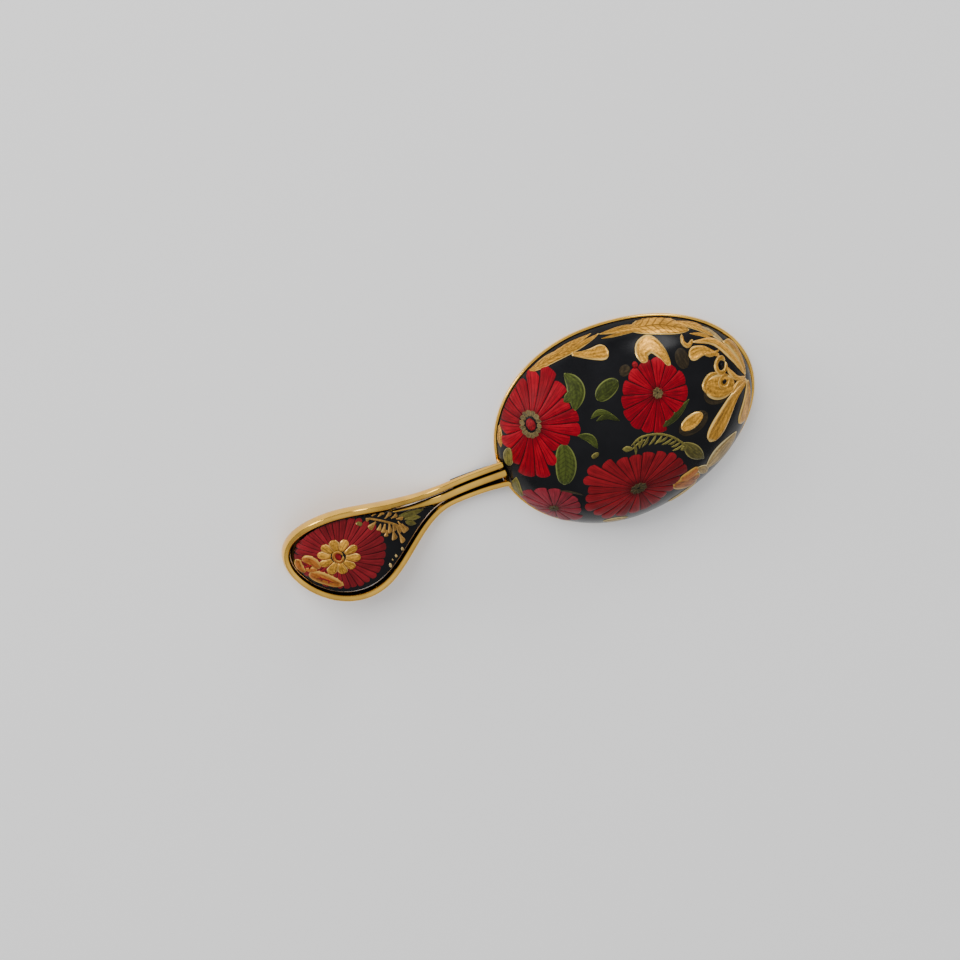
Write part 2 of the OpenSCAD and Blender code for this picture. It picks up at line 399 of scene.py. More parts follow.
def stretch_to_egg(obj, bowl):
    """Stretches the half toward the tip and the half toward the neck, then moves the bowl
    to its place."""
    for side, reach in ((1, bowl.tip_reach), (-1, bowl.neck_reach)):
        select_points(obj, lambda vertex: vertex.co.x * side > 1e-7)
        bpy.ops.transform.resize(value=(reach / bowl.half_width, 1, 1), center_override=(0, 0, 0))
        bpy.ops.object.mode_set(mode="OBJECT")
    bpy.ops.object.mode_set(mode="EDIT")
    bpy.ops.mesh.select_all(action="SELECT")
    bpy.ops.transform.translate(value=(bowl.centre_x * MM, 0, 0))
    bpy.ops.object.mode_set(mode="OBJECT")
    bpy.ops.object.shade_smooth_by_angle(angle=math.radians(40))


def dome_section(width, height, foot, steps):
    """Points of the full, slightly flattened dome from its foot to its crown."""
    points = []
    for i in range(steps + 1):
        turn = math.pi / 2 * i / steps
        reach = width * math.cos(turn) ** 0.83 if i < steps else 0.0
        points.append((reach, foot + height * math.sin(turn) ** 1.2))
    return points


def mark_groove(piece, neighbours, kept_dark):
    """Stores how close each point of a piece lies to its neighbours, from 1 where they touch to 0 past a
    groove's reach, times the share of painted shade, with patina, on a face that turns up by this much."""
    reach = 1.6 * MM
    graph = bpy.context.evaluated_depsgraph_get()
    trees = [BVHTree.FromObject(other, graph) for other in neighbours]
    marks = piece.data.attributes.new("groove", "FLOAT", "POINT")
    for i, point in enumerate(piece.data.vertices):
        gap = min(tree.find_nearest(point.co)[3] for tree in trees)
        # Painted shade: strongest where pieces touch, and on faces turned away from above.
        marks.data[i].value = max(0.0, 1 - gap / reach) * kept_dark(point.normal.z)


def smooth_copy(node, name, levels, crease):
    """A copy of a CAD node with its loose triangles merged into faces and rounded off; the
    crease says how much of its sharp edges is kept."""
    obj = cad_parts[node].copy()
    obj.data = obj.data.copy()
    obj.name = name
    obj.data.name = name
    obj.parent = None
    for key in list(obj.keys()):
        del obj[key]
    bpy.context.scene.collection.objects.link(obj)
    only(obj)
    obj.hide_render = False
    obj.hide_viewport = False
    if obj.data.has_custom_normals:
        bpy.ops.mesh.customdata_custom_splitnormals_clear()
    bpy.ops.object.mode_set(mode="EDIT")
    bpy.ops.mesh.select_mode(type="VERT")
    bpy.ops.mesh.select_all(action="SELECT")
    bpy.ops.mesh.remove_doubles(threshold=2e-6)
    sharp = math.radians(60)
    bpy.ops.mesh.tris_convert_to_quads(face_threshold=sharp, shape_threshold=sharp)
    bpy.ops.mesh.select_mode(type="EDGE")
    bpy.ops.mesh.select_all(action="DESELECT")
    bpy.ops.mesh.edges_select_sharp(sharpness=sharp)
    bpy.ops.transform.edge_crease(value=crease)
    bpy.ops.mesh.select_mode(type="VERT")
    bpy.ops.object.mode_set(mode="OBJECT")
    if levels:
        round_off = obj.modifiers.new("Round", "SUBSURF")
        round_off.levels = levels
        round_off.render_levels = levels
        apply_all(obj)
    bpy.ops.object.shade_smooth_by_angle(angle=math.radians(50))
    return obj


def unit_pad(name, across, along):
    """A closed pad, two by two and one thick: the start of every petal, leaf and drop."""
    bpy.ops.object.select_all(action="DESELECT")
    bpy.ops.mesh.primitive_grid_add(x_subdivisions=across, y_subdivisions=along, size=2.0, calc_uvs=True)
    obj = named(name)
    wall = obj.modifiers.new("Wall", "SOLIDIFY")
    wall.thickness = 1.0
    wall.offset = -1.0
    apply_all(obj)
    return obj


def pad_copy(pad, name, shape, tone):
    """A copy of the pad, each of whose points is put where shape(s, t, is_top) says."""
    obj = pad.copy()
    obj.data = pad.data.copy()
    obj.name = name
    bpy.context.scene.collection.objects.link(obj)
    for vertex in obj.data.vertices:
        s, y, z = vertex.co
        vertex.co = shape(s, (y + 1) / 2, z > -0.5)
    marks = obj.data.attributes.new("tone", "FLOAT", "POINT")
    marks.data.foreach_set("value", [tone] * len(obj.data.vertices))
    return obj


def join(pieces, name):
    """One object out of several."""
    bpy.ops.object.select_all(action="DESELECT")
    for piece in pieces:
        piece.select_set(True)
    bpy.context.view_layer.objects.active = pieces[0]
    if len(pieces) > 1:
        bpy.ops.object.join()
    return named(name)


def along_path(path, t):
    """Point and direction on a smooth line through the path's points."""
    count = len(path) - 1
    step = min(int(t * count), count - 1)
    f = t * count - step
    p = [Vector((*path[min(max(step + k, 0), count)], 0)) for k in (-1, 0, 1, 2)]
    if step == 0:
        p[0] = 2 * p[1] - p[2]
    if step == count - 1:
        p[3] = 2 * p[2] - p[1]
    point = 0.5 * (
        2 * p[1]
        + (p[2] - p[0]) * f
        + (2 * p[0] - 5 * p[1] + 4 * p[2] - p[3]) * f * f
        + (3 * p[1] - p[0] - 3 * p[2] + p[3]) * f**3
    )
    slope = 0.5 * (
        (p[2] - p[0])
        + 2 * (2 * p[0] - 5 * p[1] + 4 * p[2] - p[3]) * f
        + 3 * (3 * p[1] - p[0] - 3 * p[2] + p[3]) * f * f
    )
    return point, slope.normalized()


def round_end(t, start):
    """Full width up to a share of the length, then a round end."""
    return math.sqrt(max(0.0, 1 - max(0.0, (t - start) / (1 - start)) ** 2))


# Width of each kind of stroke along its length, as a share of its full width
PROFILES = {
    "leaf": lambda t: math.sin(math.pi * t) ** 0.75,
    "oval": lambda t: math.sqrt(max(0.0, 1 - (2 * t - 1) ** 2)),
    "drop": lambda t: (0.16 + 0.84 * t**1.3) * round_end(t, 0.72),
    "petal": lambda t: (0.45 + 0.55 * min(1.0, 1.6 * t)) * round_end(t, 0.6),
    "horn": lambda t: min(1.0, 0.55 + 1.5 * t) * math.sqrt(max(0.0, 1 - t**2.6)) * min(1.0, 12 * t) ** 0.5,
    "line": lambda t: min(1.0, 8 * t, 8 * (1 - t)) ** 0.5 if 0 < t < 1 else 0.0,
}


# How deep the underside of a stroke lies in the lacquer, in millimetres
PAINT_SUNK = 0.15


def pillow(across, along):
    """Height of a plain stroke: full in the middle and falling to its edge."""
    return (1 - across**4) * min(1.0, 7 * along) ** 0.6


def hollow(across, along):
    """Height of a rimmed stroke: a raised outline round a shallow, sunk middle."""
    edge = max(across, 1 - min(1.0, 5 * along))
    ridge = math.exp(-(((edge - 0.74) / 0.17) ** 2))
    return (0.5 + 0.5 * ridge) * (1 - edge**6)


def brush_stroke(pad, path, width, profile="leaf", relief=0.35, tone=0.5, form=pillow):
    """One raised stroke of paint along a path of (x, y) points in millimetres."""

    def shape(s, t, is_top):
        point, direction = along_path(path, t)
        side = Vector((-direction.y, direction.x, 0))
        across = max(0.05, PROFILES[profile](t)) * width / 2
        place = point + side * s * across
        rise = 0.05 + relief * form(abs(s), min(t, 1 - t))
        return (place.x * MM, place.y * MM, (rise if is_top else -PAINT_SUNK) * MM)

    return pad_copy(pad, "stroke", shape, tone)


def petal(pad, centre, heart, low, angle, high, length, relief, tone):
    """One petal between two angles, from the heart's edge out to its tip; its tone also
    says how pointed the tip is."""

    def shape(s, t, is_top):
        reach = length * (1 - (0.03 + 0.05 * tone) * abs(s) ** (3.4 - 1.4 * tone))
        root = heart(angle)
        radius = root + (reach - root) * t
        gap = 0.03 / max(radius, 0.6)
        swing = (angle - low - gap) if s < 0 else (high - angle - gap)
        turn = angle + s * swing
        crown = (1 - abs(s) ** 8) * min(1.0, 9 * (1 - t)) ** 0.5
        rise = 0.05 + relief * crown * (0.45 + 0.55 * t)
        return (
            (centre[0] + radius * math.cos(turn)) * MM,
            (centre[1] + radius * math.sin(turn)) * MM,
            (rise if is_top else -PAINT_SUNK) * MM,
        )

    return pad_copy(pad, "petal", shape, tone)


def ellipse_radius(rx, ry):
    """An ellipse's radius, as a function of the direction."""
    return lambda turn: rx * ry / math.hypot(ry * math.cos(turn), rx * math.sin(turn))


def flower(pad, centre, heart, petals, relief, chance):
    """Petals as (angle in degrees, length in millimetres), in order round the heart."""
    turns = [math.radians(angle) for angle, _ in petals]
    made = []
    for i, (_, length) in enumerate(petals):
        before = turns[i - 1] - (math.tau if i == 0 else 0)
        after = turns[(i + 1) % len(turns)] + (math.tau if i == len(turns) - 1 else 0)
        low, high = (before + turns[i]) / 2, (turns[i] + after) / 2
        made.append(petal(pad, centre, heart, low, turns[i], high, length, relief, chance.random()))
    return made


def lay_on(obj, ground, centre, lowest):
    """Lays a flat piece on a curved ground: a point's x and y stay, and its height is
    measured from the ground, square to it. A point past the ground's edge, or lower than the
    lowest place for paint, moves in toward the centre until it is on it."""
    tree = BVHTree.FromObject(ground, bpy.context.evaluated_depsgraph_get())
    middle = Vector((centre[0] * MM, centre[1] * MM, 0))
    step_in, most_steps = 0.996, 400
    for vertex in obj.data.vertices:
        flat = Vector((vertex.co.x, vertex.co.y, 0))
        rise = vertex.co.z
        for _ in range(most_steps):
            hit, normal, _, _ = tree.ray_cast(flat + UP, -UP)
            if hit is not None and hit.z > lowest * MM:
                break
            flat = middle + (flat - middle) * step_in
        else:
            raise RuntimeError(f"{obj.name} has a point that lies nowhere on {ground.name}")
        vertex.co = hit + normal * rise
    only(obj)
    bpy.ops.object.shade_smooth_by_angle(angle=math.radians(45))


# The lacquered pieces that paint is laid on, by name
GROUNDS = {}


def lay_on_bowl(obj):
    """Lays paint on the shell, in from its middle and no lower than just over the rim."""
    middle = (bpy.context.scene.spoon_bowl.centre_x, 0)
    lay_on(obj, GROUNDS["bowl"], middle, lowest=2.0)


def lay_on_plaque(obj):
    """Lays paint on the plaque's crowned face."""
    middle = (-56, 0)
    lay_on(obj, GROUNDS["plaque"], middle, lowest=0.0)


def join_strokes(name, pad, strokes, relief, chance, form):
    """Strokes as (path, width, profile), in one flat piece."""
    made = [
        brush_stroke(pad, path, width, profile, relief, chance.random(), form)
        for path, width, profile in strokes
    ]
    return join(made, name)


def paint_on_bowl(name, pad, strokes, relief, material, chance, form=pillow):
    """Strokes of one colour on the shell's lacquer."""
    obj = join_strokes(name, pad, strokes, relief, chance, form)
    lay_on_bowl(obj)
    finish_piece(obj, material, "black_lacquer")


def paint_on_plaque(name, pad, strokes, relief, material, chance):
    """Strokes of one colour on the plaque's lacquer."""
    obj = join_strokes(name, pad, strokes, relief, chance, pillow)
    lay_on_plaque(obj)
    finish_piece(obj, material, "plaque_lacquer")


def round_path(x, y, across, along, steps=12):
    """A closed line round a middle, in millimetres."""
    turns = [math.tau * i / steps for i in range(steps + 1)]
    return tuple((x + across * math.cos(turn), y + along * math.sin(turn)) for turn in turns)


# ------------------------------------------------------------------ properties


class SpoonBowlSettings(bpy.types.PropertyGroup):
    """Sizes of the turned bowl, in millimetres."""

    centre_x: FloatProperty(
        name="Centre", description="Place of the bowl's widest part along the spoon", default=30.3
    )
    tip_reach: FloatProperty(
        name="Tip reach", description="From the widest part to the tip", default=44.7, min=30
    )
    neck_reach: FloatProperty(
        name="Neck reach", description="From the widest part to the neck end", default=36.0, min=30
    )
    half_width: FloatProperty(
        name="Half width", description="Half of the width over the rim", default=32.0, min=20
    )
    height: FloatProperty(name="Height", description="Height of the painted back", default=20.0, min=10)
    shell_wall: FloatProperty(
        name="Shell wall", description="Thickness of the wooden shell", default=2.0, min=1
    )
    liner_wall: FloatProperty(
        name="Liner wall", description="Thickness of the gilt liner", default=0.8, min=0.4
    )
    rim_lip: FloatProperty(
        name="Rim lip", description="Width of the rim outside the shell", default=0.6, min=0.4
    )
    rim_height: FloatProperty(
        name="Rim height", description="Height of the gilt rim", default=1.2, min=1
    )
    rim_floor: FloatProperty(
        name="Rim floor", description="Thickness of the rim under the shell", default=0.75, min=0.4
    )
    joint_gap: FloatProperty(
        name="Joint gap", description="Room for cement between the layers", default=0.1, min=0
    )
    turns: IntProperty(name="Turn steps", description="Faces round the bowl", default=224, min=48)


class SpoonPaintSettings(bpy.types.PropertyGroup):
    """How the painted decoration stands on the lacquer."""

    petal_relief: FloatProperty(
        name="Petal relief", description="Height of a red petal, in mm", default=0.22, min=0.05
    )
    leaf_relief: FloatProperty(
        name="Leaf relief", description="Height of a leaf, in mm", default=0.35, min=0.05
    )
    gold_relief: FloatProperty(
        name="Gold relief", description="Height of a gold stroke, in mm", default=0.45, min=0.05
    )
    seed: IntProperty(name="Seed", description="Chance in the tones of the strokes", default=7)


COLOUR = {"subtype": "COLOR", "size": 3, "min": 0.0, "max": 1.0}


class SpoonColourSettings(bpy.types.PropertyGroup):
    """Colours of the gilding, the lacquer and the paints."""

    gilding: FloatVectorProperty(
        name="Gilding", description="Gilt brass", default=linear("#F6BE52"), **COLOUR
    )
    lacquer: FloatVectorProperty(
        name="Lacquer", description="Black lacquer", default=linear("#0E0E10"), **COLOUR
    )
    red: FloatVectorProperty(
        name="Red", description="The two upper flowers", default=linear("#7C0213"), **COLOUR
    )
    crimson: FloatVectorProperty(
        name="Crimson", description="The wide flower", default=linear("#740F17"), **COLOUR
    )
    rose: FloatVectorProperty(
        name="Rose", description="The flower by the edge", default=linear("#74202A"), **COLOUR
    )
    madder: FloatVectorProperty(
        name="Madder", description="The plaque's flower", default=linear("#6E161C"), **COLOUR
    )
    green: FloatVectorProperty(
        name="Green", description="Green leaves", default=linear("#343B12"), **COLOUR
    )
    olive: FloatVectorProperty(
        name="Olive", description="Olive leaves", default=linear("#5C5526"), **COLOUR
    )
    heart: FloatVectorProperty(
        name="Hearts", description="The flowers' hearts", default=linear("#52462A"), **COLOUR
    )
    shadow: FloatVectorProperty(
        name="Shadow", description="Dark undertones", default=linear("#2E2516"), **COLOUR
    )
    gold: FloatVectorProperty(
        name="Gold", description="Gold paint", default=linear("#C48C32"), **COLOUR
    )
    bronze: FloatVectorProperty(
        name="Bronze", description="The plaque's sprig", default=linear("#966F35"), **COLOUR
    )
    pale: FloatVectorProperty(
        name="Pale gold", description="Pale gold paint", default=linear("#B0925A"), **COLOUR
    )
    coral: FloatVectorProperty(
        name="Coral", description="Coral leaves", default=linear("#925420"), **COLOUR
    )
    ember: FloatVectorProperty(
        name="Ember", description="Berries and eyes", default=linear("#6E0A12"), **COLOUR
    )


class SpoonStageSettings(bpy.types.PropertyGroup):
    """The floor, the light and the camera."""

    floor_colour: FloatVectorProperty(
        name="Floor",
        description="Colour of the pale floor",
        subtype="COLOR",
        size=3,
        default=(0.93, 0.92, 0.9),
    )
    distance: FloatProperty(
        name="Distance", description="From the camera to the spoon, in metres", default=2.0, min=0.5
    )
    frame_width: FloatProperty(
        name="View width", description="Width that the camera sees, in metres", default=0.2818, min=0.05
    )


# ------------------------------------------------------------------- operators


class SPOON_OT_bowl(bpy.types.Operator):
    """Turn the wooden shell, the gilt liner and the rim that holds them"""

    bl_idname = "spoon.bowl"
    bl_label = "Bowl"

    def execute(self, context):
        b = context.scene.spoon_bowl
        foot = b.rim_floor + b.joint_gap
        shell = b.half_width - b.rim_lip - b.joint_gap
        top = b.height - foot
        layers = (
            ("bowl_lacquered_shell", shell, top, b.shell_wall, "lacquer", "black_lacquer", "bowl_shell"),
            (
                "bowl_gilt_liner",
                shell - b.shell_wall - b.joint_gap,
                top - b.shell_wall - b.joint_gap,
                b.liner_wall,
                "satin",
                "gilt_liner",
                "bowl_liner",
            ),
        )
        for name, width, height, wall, material, slot, node in layers:
            outside = dome_section(width, height, foot, 64)
            inside = dome_section(width - wall, height - wall, foot, 48)
            obj = turn_section(name, outside[::-1] + inside, b.turns, False)
            stretch_to_egg(obj, b)
            finish_piece(obj, material, slot, node)
            if node == "bowl_shell":
                GROUNDS["bowl"] = obj
        inner = shell - b.shell_wall - b.joint_gap - b.liner_wall
        middle = b.rim_height / 2
        outer = [
            (b.half_width - 0.5 + 0.5 * math.cos(a), middle + (middle - 0.02) * math.sin(a))
            for a in (math.radians(d) for d in range(-90, 91, 15))
        ]
        lip = b.half_width - b.rim_lip
        section = [(inner + 0.15, 0), *outer]
        section += [(lip + 0.04, b.rim_height - 0.03), (lip, b.rim_height - 0.1)]
        section += [(lip, b.rim_floor), (inner, b.rim_floor), (inner, 0.15)]
        rim = turn_section("bowl_gilt_rim", section, b.turns, True)
        stretch_to_egg(rim, b)
        finish_piece(rim, "gilt", "gilt_brass", "bowl_rim")
        return {"FINISHED"}


class SPOON_OT_handle(bpy.types.Operator):
    """Round off the loop, the rods, the saddle and the pieces inside the loop"""

    bl_idname = "spoon.handle"
    bl_label = "Handle"

    def execute(self, context):
        rounded = (
            ("handle_loop", "handle_gilt_loop", 2, 0.0, "gilt", "gilt_brass"),
            ("centre_rod", "neck_centre_rod", 2, 0.0, "gilt", "gilt_brass"),
            ("plaque_tray", "handle_back_tray", 2, 1.0, "satin", "gilt_tray"),
            ("handle_plaque", "handle_lacquered_plaque", 3, 0.8, "lacquer", "plaque_lacquer"),
            ("neck_strip", "neck_blackened_strip", 2, 1.0, "blackened", "blackened_brass"),
        )
        made = {}
        for node, name, levels, crease, material, slot in rounded:
            made[node] = smooth_copy(node, name, levels, crease)
            finish_piece(made[node], material, slot, node)
        loop, rod, tray = made["handle_loop"], made["centre_rod"], made["plaque_tray"]
        plaque = made["handle_plaque"]
        GROUNDS["plaque"] = plaque
        # Painted shade in the grooves: loop and rod darken next to each other and the plaque, less on faces
        # that turn up; the tray darkens on its upper face next to the bars.
        for bar, neighbours in ((loop, [rod, plaque]), (rod, [loop, plaque])):
            mark_groove(bar, neighbours, lambda up: min(1.0, 1.6 * (1 - up)))
        mark_groove(tray, [loop, rod], lambda up: float(up > 0))
        saddle = smooth_copy("neck_saddle", "neck_gilt_saddle", 0, 0.0)
        soften = saddle.modifiers.new("Soften", "BEVEL")
        soften.width = 0.25 * MM
        soften.segments = 3
        soften.angle_limit = math.radians(35)
        apply_all(saddle)
        bpy.ops.object.shade_smooth_by_angle(angle=math.radians(40))
        finish_piece(saddle, "gilt", "gilt_brass", "neck_saddle")
        return {"FINISHED"}


class SPOON_OT_bowl_flowers(bpy.types.Operator):
    """Paint the red flowers on the bowl's back, petal by petal"""

    bl_idname = "spoon.bowl_flowers"
    bl_label = "Bowl flowers"

    def execute(self, context):
        paint = context.scene.spoon_paint
        chance = random.Random(paint.seed)
        pad = unit_pad("petal_pad", 10, 14)
        blooms = (
            (
                "flower_by_the_neck",
                "red",
                (7.2, 15.4),
                ellipse_radius(2.4, 3.0),
                ((-62, 9.2), (-40, 10.8), (-19, 13.4), (0, 13.6), (17, 13.0), (33, 15.4), (47, 16.9),
                 (60, 14.0), (75, 11.0), (98, 9.0), (125, 7.4), (158, 7.0), (190, 8.0), (212, 10.8),
                 (230, 14.0), (247, 16.8), (262, 16.6), (278, 13.0)),
            ),
            (
                "flower_in_the_middle",
                "red",
                (44.6, 11.7),
                ellipse_radius(1.3, 1.5),
                ((5, 9.4), (30, 8.7), (62, 9.5), (92, 9.2), (120, 9.9), (147, 10.4), (170, 10.9),
                 (192, 11.5), (212, 11.9), (232, 11.9), (253, 11.9), (276, 9.5), (300, 9.5), (332, 9.5)),
            ),
            (
                "flower_on_the_side",
                "side_red",
                (29.4, -14.6),
                ellipse_radius(2.2, 1.8),
                ((-33, 12.0), (-19, 13.2), (-3, 15.6), (10, 15.2), (24, 14.9), (39, 13.6), (57, 12.5),
                 (78, 11.9), (99, 12.5), (117, 14.7), (132, 17.6), (145, 17.3), (157, 15.2),
                 (170, 15.8), (184, 16.6), (198, 15.4), (212, 14.8), (229, 12.2), (250, 10.9), (272, 10.5), (293, 10.6), (312, 10.5)),
            ),
            (
                "flower_by_the_edge",
                "rose",
                (4.6, -13.6),
                ellipse_radius(1.2, 1.2),
                ((2, 7.3), (24, 7.6), (48, 8.0), (76, 8.4), (104, 9.1), (128, 9.8), (150, 8.8), (176, 7.0),
                 (216, 5.8), (258, 6.6), (286, 8.4), (309, 9.2), (338, 7.5)),
            ),
        )
        for name, material, centre, heart, petals in blooms:
            made = flower(pad, centre, heart, petals, paint.petal_relief, chance)
            obj = join(made, name)
            lay_on_bowl(obj)
            finish_piece(obj, material, "black_lacquer")
        bpy.data.objects.remove(pad)
        return {"FINISHED"}


class SPOON_OT_bowl_hearts(bpy.types.Operator):
    """Paint the flowers' hearts: rings of small olive strokes round a red eye"""

    bl_idname = "spoon.bowl_hearts"
    bl_label = "Flower hearts"

    def execute(self, context):
        paint = context.scene.spoon_paint
        chance = random.Random(paint.seed + 1)
        pad = unit_pad("heart_pad", 8, 10)
        bright, dim = [], []
        for strokes, x, y, inner, outer, lean, count, width in (
            (bright, 7.3, 15.4, (1.6, 2.2), (3.0, 3.8), 0.28, 14, 1.45),
            (bright, 44.8, 11.7, (0.2, 0.2), (1.6, 1.7), 0.0, 7, 1.2),
            (dim, 29.4, -14.6, (0.4, 0.3), (2.7, 2.0), 0.0, 9, 1.4),
            (dim, 4.6, -13.6, (0.2, 0.2), (1.4, 1.4), 0.0, 7, 0.9),
        ):
            for i in range(count):
                turn = math.tau * (i + 0.5) / count
                across, along = math.cos(turn), math.sin(turn)
                path = [(x + across * a + lean * along * b, y + along * b) for a, b in (inner, outer)]
                strokes.append((path, width, "oval"))
        for name, strokes, material in (
            ("flower_heart_rings", bright, "heart"),
            ("flower_hearts_dim", dim, "dim"),
        ):
            paint_on_bowl(name, pad, strokes, 0.3, material, chance, hollow)
        eyes = [
            (((6.7, 13.8), (7.9, 17.0)), 2.5, "oval"),
            (((46.0, 10.9), (46.8, 9.9)), 0.9, "oval"),
            (((45.6, 12.6), (46.4, 12.3)), 0.6, "oval"),
        ]
        paint_on_bowl("flower_heart_eyes", pad, eyes, 0.35, "ember", chance)
        bpy.data.objects.remove(pad)
        return {"FINISHED"}


class SPOON_OT_bowl_leaves(bpy.types.Operator):
    """Paint the green and olive leaves and the fern on the bowl's back"""

    bl_idname = "spoon.bowl_leaves"
    bl_label = "Bowl leaves"

    def execute(self, context):
        paint = context.scene.spoon_paint
        chance = random.Random(paint.seed + 2)
        pad = unit_pad("leaf_pad", 10, 18)
        green = [
            (((22.0, 25.9), (23.2, 21.8), (20.4, 16.4)), 5.2, "leaf"),
            (((18.4, 19.4), (20.4, 20.2), (22.3, 21.8)), 2.4, "leaf"),
            (((27.5, 17.2), (31.2, 18.6), (35.4, 19.7)), 4.7, "oval"),
            (((23.8, 12.9), (26.8, 13.7), (30.0, 12.0)), 1.8, "leaf"),
            (((25.0, 11.7), (28.6, 11.8), (31.3, 9.2)), 1.8, "leaf"),
            (((18.4, 9.5), (21.4, 7.5), (22.4, 3.7)), 2.6, "leaf"),
            (((13.6, 8.4), (12.2, 1.8), (9.6, -4.8)), 6.0, "oval"),
        ]
        paint_on_bowl("leaves_green", pad, green, paint.leaf_relief, "green", chance)
        olive = [
            (((19.8, 1.3), (20.9, 1.8), (22.2, 2.2)), 1.6, "oval"),
            (((-0.8, 8.9), (-2.0, 6.0), (-3.0, 3.0)), 2.3, "oval"),
            (((-2.2, -0.8), (-3.1, -5.0), (-2.4, -9.4)), 2.2, "leaf"),
            (((46.6, -6.4), (48.4, -11.0), (50.7, -15.9)), 4.4, "leaf"),
            (((44.9, -8.4), (46.2, -8.2), (47.6, -8.6)), 1.8, "leaf"),
            (((29.0, 0.4), (30.3, -0.1), (32.0, -0.9)), 1.9, "leaf"),
        ]
        paint_on_bowl("leaves_olive", pad, olive, paint.leaf_relief, "olive", chance)
        stem = ((31.6, 0.2), (35.4, 1.6), (40.4, 0.2), (44.0, -2.8), (46.0, -6.0), (47.6, -8.8))
        inner = ((31.8, -0.9), (34.0, 0.1), (36.4, 0.3))
        fern = [(stem, 0.7, "line"), (inner, 0.5, "line")]
        for i in range(11):
            point, way = along_path(stem, 0.06 + 0.8 * i / 10)
            side = Vector((way.y, -way.x, 0))
            size = chance.uniform(2.6, 3.8)
            tip = point + side * size - way * size * chance.uniform(0.4, 0.9)
            bend = (point + tip) / 2 + side * 0.25 + way * 0.2
            fern.append((((point.x, point.y), (bend.x, bend.y), (tip.x, tip.y)), 0.85, "leaf"))
        paint_on_bowl("fern_sprig", pad, fern, 0.22, "olive", chance)
        in_shadow = [
            (((36.7, 20.6), (38.4, 21.1), (40.2, 21.3)), 2.8, "oval"),
            (((55.7, 13.6), (55.4, 16.4), (55.6, 19.0)), 4.2, "oval"),
            (((46.3, -2.6), (51.3, -2.2), (56.4, -1.6)), 6.6, "oval"),
            (((7.0, -6.2), (10.4, -7.8), (13.8, -10.2)), 0.9, "leaf"),
            (((58.0, 5.6), (61.2, 3.0), (66.4, -0.4)), 8.2, "oval"),
        ]
        paint_on_bowl("leaves_in_shadow", pad, in_shadow, 0.06, "shade", chance)
        dark_green = [(((41.4, 1.5), (47.0, 2.9), (52.8, 5.5)), 2.4, "leaf")]
        paint_on_bowl("leaf_under_flower", pad, dark_green, 0.25, "green", chance)
        bpy.data.objects.remove(pad)
        return {"FINISHED"}


